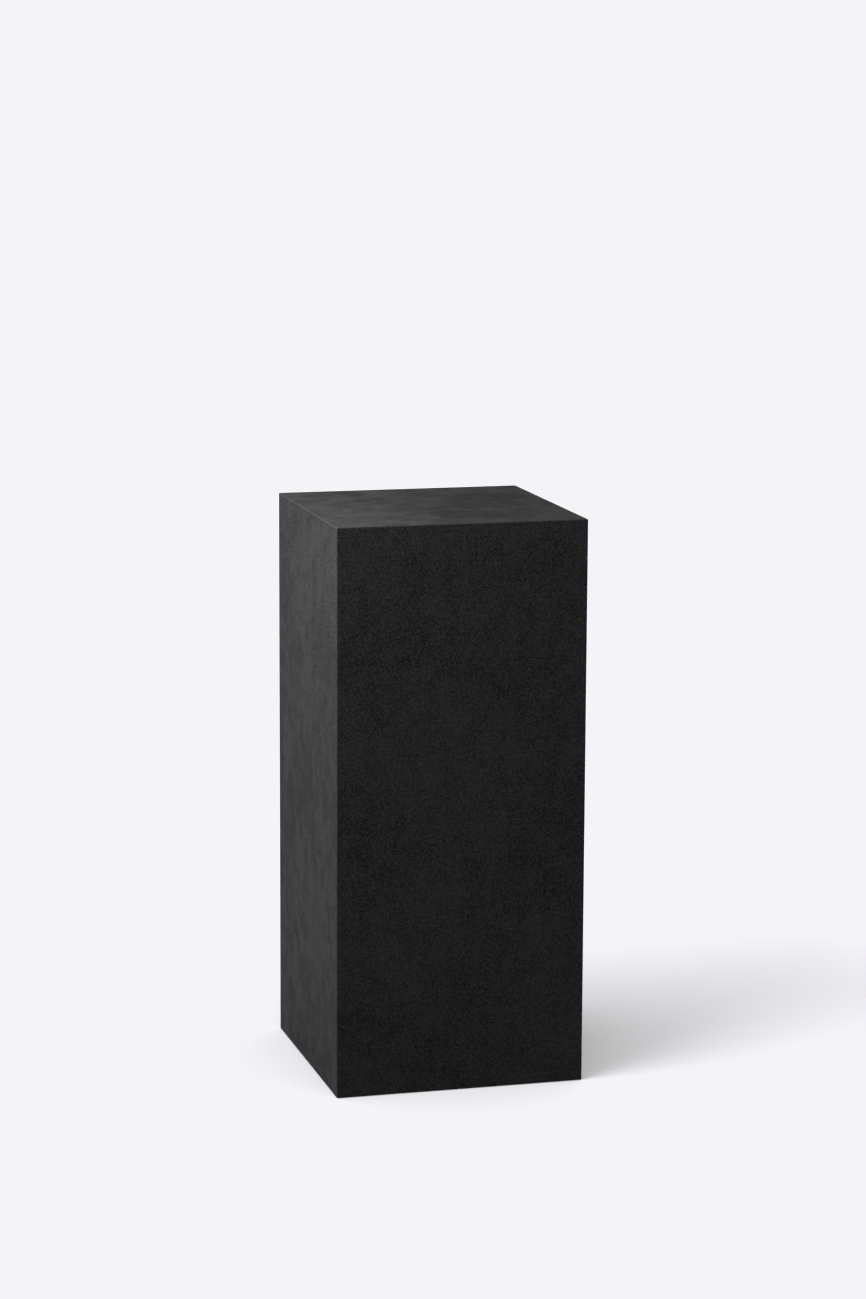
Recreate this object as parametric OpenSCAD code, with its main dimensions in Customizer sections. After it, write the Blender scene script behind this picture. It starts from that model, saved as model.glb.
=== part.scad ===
// Display plinth: a mitred box of black through-coloured fibreboard on an inner softwood frame.
// A ballasted base board closes it from below and carries four screw-down levelling feet.
// Origin on the floor under the middle of the plinth, +Z up, front towards -Y.

/* [Plinth] */
// Width and depth of the plinth
plinth_w = 400; // [380:10:600]
// Height of the display surface above the floor
plinth_h = 900; // [700:10:1200]
// Thickness of the fibreboard panels
board_t = 19; // [16:1:22]
// Radius to which the outer arrises are eased
arris_r = 2; // [1:0.5:3]
// Gap under the panels with the feet wound right in
floor_gap = 1; // [1:0.5:3]

/* [Mitre tongues] */
// Thickness of the plywood tongues
tongue_t = 4; // [3:0.5:5]
// Width of the tongues, half in each board
tongue_w = 16; // [12:1:16]
// Distance that the tongues stop short of the plinth's corners
tongue_stop = 40; // [35:1:60]

/* [Softwood frame] */
// Side of the square battens, bearers and cleats
batten_w = 30; // [28:1:34]
// Height of the middle cleats' top above the floor
rib_z = 460; // [420:10:500]
// Thickness of the plywood rib
rib_t = 12; // [9:1:18]
// Radius of the hand hole in the rib
hand_hole_r = 40; // [30:1:44]

/* [Base board] */
// Thickness of the plywood base board
base_t = 18; // [18:1:21]
// Height of the base board's underside above the floor
base_z = 24; // [24:1:26]
// Clearance round the base board and the rib
board_clearance = 1; // [0.5:0.5:2]

/* [Ballast] */
// Width and depth of a ballast plate
plate_w = 240; // [200:5:245]
// Thickness of a ballast plate
plate_t = 12; // [8:1:14]
// Distance from the middle of a plate to its bolts, each way
plate_bolt_xy = 90; // [70:5:95]

/* [Levelling feet] */
// Distance from the plinth's outer faces to a foot's axis
foot_inset = 62; // [60:1:64]
// Radius of a foot's base
foot_r = 20; // [18:1:24]
// Radius of the M10 stud
stud_r = 5; // [4.5:0.5:5]
// Pitch of the stud's thread
stud_pitch = 1.5; // [1.25:0.25:1.5]
// Turns from wound right in to wound right out
stud_turns = 10; // [6:1:10]

/* [Hidden] */
$fn = 64;
eps = 0.01;

SIDES = ["front", "right", "back", "left"];
CORNERS = ["front_left", "front_right", "back_right", "back_left"];

half_w = plinth_w / 2;
inner_half = half_w - board_t;          // inner face of the side panels
inner_top = plinth_h - board_t;         // underside of the top panel
frame_half = inner_half - batten_w / 2; // centre lines of battens, bearers and cleats
bar_half = inner_half - batten_w - 1;   // half the length of a bearer or cleat
bar_screw_x = 105;                      // screws through a bar into its panel
base_screw_x = 75;                      // screws through the base board into a bearer
rib_screw_x = 55;                       // screws through the rib into a cleat
batten_screw_z = [140, 320, 560, plinth_h - 160];
batten_screw_step = 20;                 // height between the two screws that cross in a batten

base_top = base_z + base_t;
upright_tongue_z = [25, plinth_h - tongue_stop];
tongue_in = board_t * 0.35;             // tongue's middle from the inner corner, along X and Y

// Wood screws 4.5 x 40 and 4.5 x 30, countersunk
wood_screw_r = 2.25;
wood_screw_head_r = 4.25;
wood_screw_head_h = 2.6;
wood_screw_tip = 5;
long_screw = 40;
short_screw = 30;

// M6 machine screws and their brass inserts
base_screw_r = 3;
base_screw_head_r = 6;
base_screw_head_h = 3.3;
base_screw_l = 35;
base_insert_r = 4.5;
base_insert_l = 12;

// M8 ballast bolts, washers and nuts
ballast_bolt_r = 4;
ballast_bolt_head_r = 8;
ballast_bolt_head_h = 4.4;
ballast_hole_r = 4.5;
washer_r = 8;
washer_t = 1.6;
nut_r = 13 / sqrt(3);                   // 13 mm across flats
nut_h = 6.5;
bolt_proud = 2;                         // bolt standing out of its nut
plates_top = base_top + 2 * plate_t;
ballast_bolt_l = plates_top + washer_t + nut_h + bolt_proud - base_z;

// Levelling foot, at rest wound right in
foot_xy = half_w - foot_inset;
foot_travel = stud_pitch * stud_turns;
running = 0.05;                         // running clearance, on radius and along the axis
stop_gap = 0.3;                         // hex under the insert's flange
sole_t = 2;
pad_rim_t = 4;
pad_h = 10;
pad_neck_r = 13;
pocket_z = 5;                           // floor of the pad's pocket
collar_r = 8;
collar_t = 4;
ring_r = 10;
ring_t = 2;
ring_z = pocket_z + collar_t + 2 * running;
pad_top = sole_t + pad_h;
hex_r = 17 / sqrt(3);                   // 17 mm across flats
hex_h = 8;
insert_r = 7.5;
insert_flange_r = 12;
insert_flange_t = 1.5;
insert_l = 16;
hex_top = base_z - insert_flange_t - stop_gap;
stud_top = base_z + insert_l + foot_travel + 3;
socket_r = 2.9;                         // hexagon socket in the stud's upper end
socket_l = 5;

function per_side(name) = [for (side = SIDES) str(name, "_", side)];
function per_corner(name) = [for (corner = CORNERS) str(name, "_", corner)];

// ---- Where things go: side 0 is the front and corner 0 the front left one ----

module to_side(i) { rotate([0, 0, 90 * i]) children(); }

module to_corner(i) { rotate([0, 0, 90 * i]) children(); }

module at_foot(i) { to_corner(i) translate([-foot_xy, -foot_xy, 0]) children(); }

// ---- Fibreboard case ----

// Square outline with true round corners
module eased_rect(w, h, r) {
    translate([-w / 2 + r, -h / 2]) square([w - 2 * r, h]);
    translate([-w / 2, -h / 2 + r]) square([w, h - 2 * r]);
    for (x = [-1, 1], y = [-1, 1])
        translate([x * (w / 2 - r), y * (h / 2 - r)]) circle(r);
}

// The case's outer shape: a block with every arris eased
module eased_block() {
    h = plinth_h - floor_gap;
    translate([0, 0, floor_gap]) intersection() {
        linear_extrude(h) eased_rect(plinth_w, plinth_w, arris_r);
        translate([0, half_w, h / 2]) rotate([90, 0, 0])
            linear_extrude(plinth_w) eased_rect(plinth_w, h, arris_r);
        translate([-half_w, 0, h / 2]) rotate([90, 0, 90])
            linear_extrude(plinth_w) eased_rect(plinth_w, h, arris_r);
    }
}

// Front panel's wedge: mitred at both upright edges and along the top
module side_wedge() {
    intersection() {
        linear_extrude(plinth_h) polygon([
            [-half_w, -half_w], [half_w, -half_w],
            [inner_half, -inner_half], [-inner_half, -inner_half]]);
        rotate([90, 0, 90]) translate([0, 0, -half_w]) linear_extrude(plinth_w) polygon([
            [-half_w, 0], [-inner_half, 0],
            [-inner_half, inner_top], [-half_w, plinth_h]]);
    }
}

// Top panel's wedge: mitred along all four edges
module top_wedge() {
    outline = [[-half_w, plinth_h], [half_w, plinth_h],
               [inner_half, inner_top], [-inner_half, inner_top]];
    intersection() {
        translate([0, half_w, 0]) rotate([90, 0, 0]) linear_extrude(plinth_w) polygon(outline);
        translate([-half_w, 0, 0]) rotate([90, 0, 90]) linear_extrude(plinth_w) polygon(outline);
    }
}

module side_panel(i) {
    color("#2b2b2d") difference() {
        to_side(i) intersection() {
            eased_block();
            side_wedge();
        }
        for (corner = [i, i + 1]) upright_mitre_tongue(corner);
        top_mitre_tongue(i);
        for (corner = [i, i + 1]) one_batten_screws(corner);
        to_side(i) for (z = bar_levels) one_bar_screws(z);
    }
}

module top_panel() {
    color("#2b2b2d") difference() {
        intersection() {
            eased_block();
            top_wedge();
        }
        top_mitre_tongues();
    }
}

// Plywood tongues let into both faces of each mitre
module upright_mitre_tongue(i) {
    to_corner(i)
        translate([-inner_half - tongue_in, -inner_half - tongue_in, upright_tongue_z[0]])
            rotate([0, 0, -45]) translate([-tongue_w / 2, -tongue_t / 2, 0])
                cube([tongue_w, tongue_t, upright_tongue_z[1] - upright_tongue_z[0]]);
}

module top_mitre_tongue(i) {
    to_side(i) translate([0, -inner_half - tongue_in, inner_top + tongue_in])
        rotate([45, 0, 0])
            cube([plinth_w - 2 * tongue_stop, tongue_w, tongue_t], center = true);
}

module upright_mitre_tongues() {
    color("#c9a878") for (i = [0:3]) upright_mitre_tongue(i);
}

module top_mitre_tongues() {
    color("#c9a878") for (i = [0:3]) top_mitre_tongue(i);
}

// ---- Fasteners, each with its head's face at the origin and its shank down -Z ----

module wood_screw(length) {
    rotate_extrude() polygon([
        [0, 0], [wood_screw_head_r, 0], [wood_screw_r, -wood_screw_head_h],
        [wood_screw_r, wood_screw_tip - length], [0, -length]]);
}

module machine_screw(r, head_r, head_h, length) {
    rotate_extrude() polygon([[0, 0], [head_r, 0], [r, -head_h], [r, -length], [0, -length]]);
}

// ---- Softwood frame glued and screwed inside the case ----

bar_levels = [base_top, rib_z - batten_w, inner_top - batten_w];

// A bar along the front panel, standing on height z
module bar(z) {
    translate([-bar_half, -inner_half, z])
        cube([2 * bar_half, batten_w, batten_w]);
}

module one_bar_screws(z) {
    for (x = [-1, 1])
        translate([x * bar_screw_x, batten_w - inner_half, z + batten_w / 2])
            rotate([-90, 0, 0]) wood_screw(long_screw);
}

// Two crossing rows of screws through the batten of a corner
module one_batten_screws(i) {
    to_corner(i) for (z = batten_screw_z) {
        translate([-frame_half, batten_w - inner_half, z])
            rotate([-90, 0, 0]) wood_screw(long_screw);
        translate([batten_w - inner_half, -frame_half, z + batten_screw_step])
            rotate([0, 90, 0]) wood_screw(long_screw);
    }
}

module corner_batten(i) {
    color("#d8bd8c") difference() {
        to_corner(i) translate([-inner_half, -inner_half, base_top])
            cube([batten_w, batten_w, inner_top - base_top]);
        one_batten_screws(i);
    }
}

module base_bearer(i) {
    color("#d8bd8c") difference() {
        to_side(i) bar(base_top);
        to_side(i) one_bar_screws(base_top);
        to_side(i) for (x = [-1, 1]) translate([x * base_screw_x, -frame_half, base_top]) {
            translate([0, 0, -eps]) cylinder(r = base_insert_r, h = base_insert_l + eps);
            cylinder(r = base_screw_r, h = base_screw_l - base_t + 2);
        }
    }
}

module mid_cleat(i) {
    color("#d8bd8c") difference() {
        to_side(i) bar(rib_z - batten_w);
        to_side(i) one_bar_screws(rib_z - batten_w);
        rib_screws();
    }
}

module top_cleat(i) {
    color("#d8bd8c") difference() {
        to_side(i) bar(inner_top - batten_w);
        to_side(i) one_bar_screws(inner_top - batten_w);
    }
}

module batten_screws() {
    color("#c8b26a") for (i = [0:3]) one_batten_screws(i);
}

module cleat_screws() {
    color("#c8b26a") for (i = [0:3], z = bar_levels) to_side(i) one_bar_screws(z);
}

// Plywood rib on the middle cleats, notched round the battens
module mid_rib() {
    rib_half = inner_half - board_clearance;
    notch = batten_w + board_clearance;
    color("#cdae7c") difference() {
        translate([-rib_half, -rib_half, rib_z]) cube([2 * rib_half, 2 * rib_half, rib_t]);
        for (i = [0:3]) to_corner(i)
            translate([-inner_half, -inner_half, rib_z - 1]) cube([notch, notch, rib_t + 2]);
        translate([0, 0, rib_z - 1]) cylinder(r = hand_hole_r, h = rib_t + 2);
        rib_screws();
    }
}

module rib_screws() {
    color("#c8b26a") for (i = [0:3], x = [-1, 1])
        to_side(i) translate([x * rib_screw_x, -frame_half, rib_z + rib_t])
            wood_screw(short_screw);
}

// ---- Removable base board ----

module at_base_screws() {
    for (i = [0:3], x = [-1, 1])
        to_side(i) translate([x * base_screw_x, -frame_half, 0]) children();
}

module base_board() {
    base_half = inner_half - board_clearance;
    color("#cdae7c") difference() {
        translate([-base_half, -base_half, base_z]) cube([2 * base_half, 2 * base_half, base_t]);
        base_screws();
        ballast_bolts();
        for (i = [0:3]) at_foot(i)
            translate([0, 0, base_z - 1]) cylinder(r = insert_r, h = base_t + 2);
    }
}

module base_inserts() {
    color("#c9a24a") at_base_screws() translate([0, 0, base_top]) difference() {
        cylinder(r = base_insert_r, h = base_insert_l);
        translate([0, 0, -1]) cylinder(r = base_screw_r, h = base_insert_l + 2);
    }
}

module base_screws() {
    color("#8e9094") at_base_screws() translate([0, 0, base_z]) rotate([180, 0, 0])
        machine_screw(base_screw_r, base_screw_head_r, base_screw_head_h, base_screw_l);
}

// ---- Ballast bolted to the base board ----

module at_ballast_bolts() {
    for (x = [-1, 1], y = [-1, 1])
        translate([x * plate_bolt_xy, y * plate_bolt_xy, 0]) children();
}

module ballast_plate(level) {
    color("#4a4744") translate([0, 0, base_top + level * plate_t]) difference() {
        translate([-plate_w / 2, -plate_w / 2, 0]) cube([plate_w, plate_w, plate_t]);
        at_ballast_bolts() translate([0, 0, -1]) cylinder(r = ballast_hole_r, h = plate_t + 2);
    }
}

module lower_ballast_plate() { ballast_plate(0); }

module upper_ballast_plate() { ballast_plate(1); }

module ballast_bolts() {
    color("#8e9094") at_ballast_bolts() translate([0, 0, base_z]) rotate([180, 0, 0])
        machine_screw(ballast_bolt_r, ballast_bolt_head_r, ballast_bolt_head_h, ballast_bolt_l);
}

module ballast_washers() {
    color("#8e9094") at_ballast_bolts() translate([0, 0, plates_top]) difference() {
        cylinder(r = washer_r, h = washer_t);
        translate([0, 0, -1]) cylinder(r = ballast_bolt_r, h = washer_t + 2);
    }
}

module ballast_nuts() {
    color("#8e9094") at_ballast_bolts() translate([0, 0, plates_top + washer_t]) difference() {
        cylinder(r = nut_r, h = nut_h, $fn = 6);
        translate([0, 0, -1]) cylinder(r = ballast_bolt_r, h = nut_h + 2);
    }
}

// ---- Levelling feet ----

// Threaded bush pushed up into the base board, its flange taking the load
module foot_insert(i) {
    bore_r = stud_r + running;
    color("#9a9ca0") at_foot(i) translate([0, 0, base_z]) rotate_extrude() polygon([
        [bore_r, -insert_flange_t], [insert_flange_r, -insert_flange_t], [insert_flange_r, 0],
        [insert_r, 0], [insert_r, insert_l], [bore_r, insert_l]]);
}

// Stud with its hexagon for a spanner and the collar that turns in the pad
module foot_stud(i) {
    collar_z = pocket_z + running;
    color("#9a9ca0") at_foot(i) difference() {
        union() {
            translate([0, 0, collar_z]) cylinder(r = collar_r, h = collar_t);
            translate([0, 0, collar_z]) cylinder(r = stud_r, h = stud_top - collar_z);
            translate([0, 0, hex_top - hex_h]) cylinder(r = hex_r, h = hex_h, $fn = 6);
        }
        translate([0, 0, stud_top - socket_l])
            cylinder(r = socket_r, h = socket_l + 1, $fn = 6);
    }
}

// Steel ring pressed into the pad over the stud's collar
module foot_ring(i) {
    color("#9a9ca0") at_foot(i) translate([0, 0, ring_z]) difference() {
        cylinder(r = ring_r, h = ring_t);
        translate([0, 0, -1]) cylinder(r = stud_r + running, h = ring_t + 2);
    }
}

module foot_pad(i) {
    pocket_r = collar_r + running;
    color("#1d1d1f") at_foot(i) rotate_extrude() polygon([
        [0, sole_t], [foot_r, sole_t], [foot_r, sole_t + pad_rim_t], [pad_neck_r, pad_top],
        [ring_r, pad_top], [ring_r, ring_z], [pocket_r, ring_z], [pocket_r, pocket_z],
        [0, pocket_z]]);
}

module foot_sole(i) {
    color("#39393b") at_foot(i) cylinder(r = foot_r, h = sole_t);
}

// ---- One node at a time, or the whole plinth ----

for (i = [0:3]) side_panel(i);
top_panel();
upright_mitre_tongues();
top_mitre_tongues();
for (i = [0:3]) corner_batten(i);
for (i = [0:3]) base_bearer(i);
for (i = [0:3]) mid_cleat(i);
for (i = [0:3]) top_cleat(i);
mid_rib();
batten_screws();
cleat_screws();
rib_screws();
base_board();
base_inserts();
base_screws();
lower_ballast_plate();
upper_ballast_plate();
ballast_bolts();
ballast_washers();
ballast_nuts();
for (i = [0:3]) foot_insert(i);
for (i = [0:3]) foot_stud(i);
for (i = [0:3]) foot_ring(i);
for (i = [0:3]) foot_pad(i);
for (i = [0:3]) foot_sole(i);
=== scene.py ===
from math import atan2, cos, hypot, pi, radians, sin, sqrt, tau

import bmesh
import bpy
from mathutils import Matrix, Vector


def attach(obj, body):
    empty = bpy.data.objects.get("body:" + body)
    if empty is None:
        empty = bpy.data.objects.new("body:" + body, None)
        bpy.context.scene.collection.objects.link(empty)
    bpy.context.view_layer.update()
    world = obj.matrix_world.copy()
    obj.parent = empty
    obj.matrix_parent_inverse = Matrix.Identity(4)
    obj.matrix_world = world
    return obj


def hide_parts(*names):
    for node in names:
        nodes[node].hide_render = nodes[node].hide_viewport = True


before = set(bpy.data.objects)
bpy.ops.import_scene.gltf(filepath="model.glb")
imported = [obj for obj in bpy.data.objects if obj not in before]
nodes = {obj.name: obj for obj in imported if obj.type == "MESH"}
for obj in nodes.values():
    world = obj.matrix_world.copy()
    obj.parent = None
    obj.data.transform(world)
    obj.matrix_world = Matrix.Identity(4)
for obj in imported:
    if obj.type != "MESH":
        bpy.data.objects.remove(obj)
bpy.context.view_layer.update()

# ---- Fibreboard case ----
# Five boards of 19 mm black fibreboard, dyed right through, mitred on every edge that shows and
# glued up into one box open at the bottom. The outer arrises are eased with a fine block after
# gluing, then the whole case gets one thin coat of dead matt lacquer.

case_w = 0.400
case_h = 0.900
floor_gap = 0.001
board_t = 0.019
arris_r = 0.0015
arris_steps = 8
half_w = case_w / 2
inner_half = half_w - board_t

SIDES = ["front", "right", "back", "left"]
CORNERS = ["front_left", "front_right", "back_right", "back_left"]


def quarter_turn(i):
    """From the front side or the front left corner to side or corner i."""
    return Matrix.Rotation(i * pi / 2, 4, "Z")


def block(low, high, ease=0.0, steps=2):
    """A rectangular block between two corners, with its arrises eased."""
    bm = bmesh.new()
    size = [h - l for l, h in zip(low, high)]
    middle = [(l + h) / 2 for l, h in zip(low, high)]
    bmesh.ops.create_cube(bm, size=1.0)
    bmesh.ops.scale(bm, verts=bm.verts, vec=size)
    bmesh.ops.translate(bm, verts=bm.verts, vec=middle)
    if ease:
        made = bmesh.ops.bevel(bm, geom=bm.edges[:], offset=ease, segments=steps, affect="EDGES",
                               profile=0.5, material=-1, clamp_overlap=True)
        for face in made["faces"]:
            face.smooth = True
    return bm


def face_outward(bm):
    """Turns every face of one closed shape outward."""
    bmesh.ops.recalc_face_normals(bm, faces=bm.faces)
    if bm.calc_volume(signed=True) < 0:
        bmesh.ops.reverse_faces(bm, faces=bm.faces)


def saw(bm, point, normal):
    """Cuts off what lies beyond a plane and closes the cut."""
    bmesh.ops.bisect_plane(bm, geom=bm.verts[:] + bm.edges[:] + bm.faces[:], dist=1e-7,
                           plane_co=point, plane_no=normal, clear_outer=True)
    closed = bmesh.ops.holes_fill(bm, edges=[e for e in bm.edges if e.is_boundary], sides=0)
    for face in closed["faces"]:
        face.smooth = False
    face_outward(bm)


def piece(name, bm, material, body, slot, *stands_for):
    """Turns a finished mesh into a piece that rides on its body and stands for its CAD nodes."""
    for edge in bm.edges:
        edge.smooth = edge.calc_face_angle(0.0) < radians(32)
    mesh = bpy.data.meshes.new(name)
    bm.to_mesh(mesh)
    bm.free()
    mesh.materials.append(material)
    made = bpy.data.objects.new(name, mesh)
    bpy.context.scene.collection.objects.link(made)
    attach(made, body)
    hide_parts(*stands_for)
    return made


def lathe(outline, steps=48, closed=False):
    """Turns an outline, given as radius and height, about Z."""
    bm = bmesh.new()
    rim = [bm.verts.new((radius, 0, height)) for radius, height in outline]
    for one, other in zip(rim, rim[1:]):
        bm.edges.new((one, other))
    if closed:
        bm.edges.new((rim[-1], rim[0]))
    bmesh.ops.spin(bm, geom=bm.verts[:] + bm.edges[:], axis=(0, 0, 1), cent=(0, 0, 0),
                   angle=tau, steps=steps, use_merge=True)
    bmesh.ops.remove_doubles(bm, verts=bm.verts, dist=1e-7)
    face_outward(bm)
    for face in bm.faces:
        face.smooth = True
    return bm


def add_shape(bm, shape, move=None):
    """Adds one finished shape to another, moved into place."""
    if move is not None:
        shape.transform(move)
    mesh = bpy.data.meshes.new("shape")
    shape.to_mesh(mesh)
    shape.free()
    bm.from_mesh(mesh)
    bpy.data.meshes.remove(mesh)


def cad_solid(name):
    """The true outer shape of a node, as a closed mesh."""
    bm = bmesh.new()
    bm.from_mesh(nodes[name].data)
    bmesh.ops.remove_doubles(bm, verts=bm.verts, dist=1e-6)
    return bm


def carve(bm, tool, operation="DIFFERENCE"):
    """Cuts the tool's shape out of a solid, joins the two or keeps what they share."""
    blanks = []
    for shape in (bm, tool):
        mesh = bpy.data.meshes.new("blank")
        shape.to_mesh(mesh)
        shape.free()
        blanks.append(bpy.data.objects.new("blank", mesh))
        bpy.context.scene.collection.objects.link(blanks[-1])
    cut = blanks[0].modifiers.new("cut", "BOOLEAN")
    cut.operation, cut.solver, cut.object = operation, "EXACT", blanks[1]
    bpy.context.view_layer.update()
    cut_blank = blanks[0].evaluated_get(bpy.context.evaluated_depsgraph_get())
    result = bmesh.new()
    result.from_mesh(cut_blank.data)
    for blank in blanks:
        mesh = blank.data
        bpy.data.objects.remove(blank)
        bpy.data.meshes.remove(mesh)
    bmesh.ops.remove_doubles(result, verts=result.verts, dist=1e-6)
    bmesh.ops.dissolve_degenerate(result, edges=result.edges, dist=1e-6)
    bmesh.ops.holes_fill(result, edges=[e for e in result.edges if e.is_boundary], sides=0)
    return result


def new_finish(name):
    """An empty material: its tree, its surface shader and the place on the object."""
    material = bpy.data.materials.new(name)
    material.use_nodes = True
    tree = material.node_tree
    tree.nodes.clear()
    surface = tree.nodes.new("ShaderNodeBsdfPrincipled")
    out = tree.nodes.new("ShaderNodeOutputMaterial")
    tree.links.new(surface.outputs["BSDF"], out.inputs["Surface"])
    place = tree.nodes.new("ShaderNodeTexCoord").outputs["Object"]
    return material, tree, surface, place


def put(tree, socket, value):
    """Feeds a socket from another socket, or sets it."""
    if isinstance(value, bpy.types.NodeSocket):
        tree.links.new(value, socket)
    else:
        socket.default_value = value


def sums(tree, operation, *values):
    """One step of arithmetic on numbers that vary over the surface."""
    node = tree.nodes.new("ShaderNodeMath")
    node.operation = operation
    for socket, value in zip(node.inputs, values):
        put(tree, socket, value)
    return node.outputs[0]


def spread(tree, value, low, high, to_low=0.0, to_high=1.0):
    """Stretches a value from low..high to another range, held at both ends."""
    node = tree.nodes.new("ShaderNodeMapRange")
    node.interpolation_type = "SMOOTHSTEP"
    for socket, number in zip(node.inputs, (value, low, high, to_low, to_high)):
        put(tree, socket, number)
    return node.outputs[0]


def patches(tree, place, size, detail=3.0, stretch=(1, 1, 1), rough=0.55, shift=0.0):
    """Soft irregular patches about size metres across, drawn out along an axis by stretch."""
    scale = tree.nodes.new("ShaderNodeMapping")
    scale.inputs["Location"].default_value = (shift, shift * 0.7, shift * 1.3)
    scale.inputs["Scale"].default_value = [1 / (size * s) for s in stretch]
    tree.links.new(place, scale.inputs["Vector"])
    noise = tree.nodes.new("ShaderNodeTexNoise")
    noise.inputs["Scale"].default_value = 1.0
    noise.inputs["Detail"].default_value = detail
    noise.inputs["Roughness"].default_value = rough
    tree.links.new(scale.outputs[0], noise.inputs["Vector"])
    return noise.outputs["Fac"]


def tint(tree, share, first, second):
    """A colour between two, by a share that varies over the surface."""
    node = tree.nodes.new("ShaderNodeMix")
    node.data_type = "RGBA"
    put(tree, node.inputs[0], share)
    for socket, colour in zip((node.inputs[6], node.inputs[7]), (first, second)):
        put(tree, socket, colour if isinstance(colour, bpy.types.NodeSocket) else (*colour, 1))
    return node.outputs[2]


def relief(tree, surface, height, depth, strength=1.0):
    """Fine relief of a real depth in metres."""
    bump = tree.nodes.new("ShaderNodeBump")
    bump.inputs["Strength"].default_value = strength
    bump.inputs["Distance"].default_value = depth
    tree.links.new(height, bump.inputs["Height"])
    tree.links.new(bump.outputs["Normal"], surface.inputs["Normal"])


def along(tree, place):
    """The place on the object as three numbers."""
    split = tree.nodes.new("ShaderNodeSeparateXYZ")
    tree.links.new(place, split.inputs[0])
    return split.outputs


def arris_highlight_mask(tree, place):
    """1 on the case's outer arrises, fading to 0 a little way in from them."""
    x, y, z = along(tree, place)
    to_x = sums(tree, "SUBTRACT", sums(tree, "ABSOLUTE", x), half_w)
    to_y = sums(tree, "SUBTRACT", sums(tree, "ABSOLUTE", y), half_w)
    to_top = sums(tree, "SUBTRACT", z, case_h)
    near = sums(tree, "MAXIMUM", sums(tree, "MINIMUM", to_x, to_y),
                sums(tree, "MINIMUM", sums(tree, "MAXIMUM", to_x, to_y), to_top))
    return spread(tree, near, -0.0024, -0.0007)


def by_axes(tree, operation, place, amounts):
    """A step of arithmetic on a place, axis by axis."""
    node = tree.nodes.new("ShaderNodeVectorMath")
    node.operation = operation
    put(tree, node.inputs[0], place)
    node.inputs[1].default_value = amounts
    return node.outputs[0]


def painted_shade_patch(tree, place, middle, reach, squash):
    """1 in the middle of a patch of painted shade, fading to 0 at its ragged edge about reach away.
    """
    away = tree.nodes.new("ShaderNodeVectorMath")
    away.operation = "LENGTH"
    from_middle = by_axes(tree, "SUBTRACT", place, middle)
    put(tree, away.inputs[0], by_axes(tree, "MULTIPLY", from_middle, squash))
    ragged = patches(tree, place, 0.030, detail=4.0, rough=0.6, shift=reach * 60)
    distance = sums(tree, "ADD", away.outputs["Value"],
                    spread(tree, ragged, 0.3, 0.7, -0.5 * reach, 0.5 * reach))
    return spread(tree, distance, reach, reach * 0.2)


def fibreboard_finish():
    """Cloudy black board, pale fleck, painted light towards the left of its top and painted shade
    there.
    """
    material, tree, surface, place = new_finish("black_fibreboard")
    x, _, z = along(tree, place)
    clouds = patches(tree, place, 0.034, detail=3.0, rough=0.55)
    broad = patches(tree, place, 0.16, detail=2.0, shift=7.7)
    streaks = patches(tree, place, 0.014, detail=2.0, stretch=(1, 1, 9), shift=1.7)
    fleck = patches(tree, place, 0.0025, detail=1.5, rough=0.8, shift=5.3)
    pale = sums(tree, "ADD", sums(tree, "MULTIPLY", spread(tree, clouds, 0.30, 0.70), 0.6),
                sums(tree, "MULTIPLY", spread(tree, broad, 0.35, 0.65), 0.4))
    grain = spread(tree, fleck, 0.38, 0.66)
    board = tint(tree, pale, (0.0006, 0.0006, 0.0006), (0.0030, 0.0030, 0.0030))
    board = tint(tree, spread(tree, streaks, 0.50, 0.75, 0.0, 0.2), board,
                 (0.0060, 0.0060, 0.0060))
    board = tint(tree, sums(tree, "MULTIPLY", grain, 0.62), board, (0.0103, 0.0103, 0.0102))
    # Painted light: the top is painted paler towards its left, where the light from the left falls on
    # it.
    on_top = spread(tree, z, case_h - 0.0010, case_h - 0.0002)
    leftward = sums(tree, "SUBTRACT", clouds, sums(tree, "MULTIPLY", x, 1.5))
    dust_and_painted_light = sums(tree, "MULTIPLY", on_top, spread(tree, leftward, 0.45, 0.85, 0.0, 0.35))
    board = tint(tree, dust_and_painted_light, board, (0.0120, 0.0120, 0.0118))
    # Painted shade: two darker patches on the top, one towards its right and one towards its front.
    painted_shade = sums(tree, "MAXIMUM",
                  painted_shade_patch(tree, place, (0.11, 0.04, case_h), 0.110, (0.8, 1, 1)),
                  painted_shade_patch(tree, place, (0.04, -0.11, case_h), 0.070, (0.6, 1, 1)))
    board = tint(tree, sums(tree, "MULTIPLY", painted_shade, 0.6), board, (0.0006, 0.0006, 0.0006))
    # Painted highlight: the outer arrises are painted paler in ragged patches, standing in for the
    # line of light they catch.
    painted_arris_highlight = sums(tree, "MULTIPLY", arris_highlight_mask(tree, place),
                spread(tree, patches(tree, place, 0.02, shift=9.0), 0.30, 0.60, 0.35, 0.9))
    put(tree, surface.inputs["Base Color"], tint(tree, painted_arris_highlight, board, (0.008, 0.008, 0.008)))
    surface.inputs["Specular IOR Level"].default_value = 0.5
    surface.inputs["IOR"].default_value = 1.12
    put(tree, surface.inputs["Roughness"],
        sums(tree, "SUBTRACT", spread(tree, pale, 0.10, 0.90, 0.70, 0.61),
             sums(tree, "MULTIPLY", grain, 0.08)))
    relief(tree, surface, sums(tree, "ADD", fleck, clouds), 0.00020, 0.7)
    return material


black_fibreboard = fibreboard_finish()


def eased_case():
    return block((-half_w, -half_w, floor_gap), (half_w, half_w, case_h), arris_r, arris_steps)


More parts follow.
